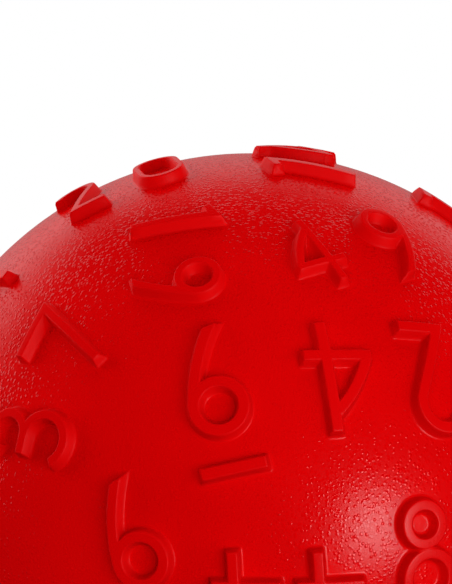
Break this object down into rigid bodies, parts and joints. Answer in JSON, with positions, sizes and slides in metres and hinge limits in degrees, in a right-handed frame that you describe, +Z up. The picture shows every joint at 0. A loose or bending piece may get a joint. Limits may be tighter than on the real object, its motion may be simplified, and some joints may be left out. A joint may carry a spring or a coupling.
{
  "type": "sensory ball",
  "caption": "Hollow soft vinyl ball covered with raised numbers, with a valve seat bonded into its back and a push-in plug that pulls out for inflating.",
  "frame": {"origin": "centre of the ball", "axes": "+Z up, away from the flattened number that the ball rests on; -Y out of the pictured front; +Y out of the valve"},
  "size_m": [0.2054, 0.2028, 0.2041],
  "materials": {
    "skin": "satin, fine pebbled grain between smooth numbers",
    "seat": "satin",
    "plug": "matte"
  },
  "bodies": {
    "ball": {"ball_skin": "skin", "valve_seat": "seat"},
    "plug": {"valve_plug": "plug"}
  },
  "joints": [
    {"name": "plug_pull", "type": "slide", "parent": "ball", "child": "plug", "axis": [0, 1, 0], "range_m": [0, 0.015]}
  ]
}
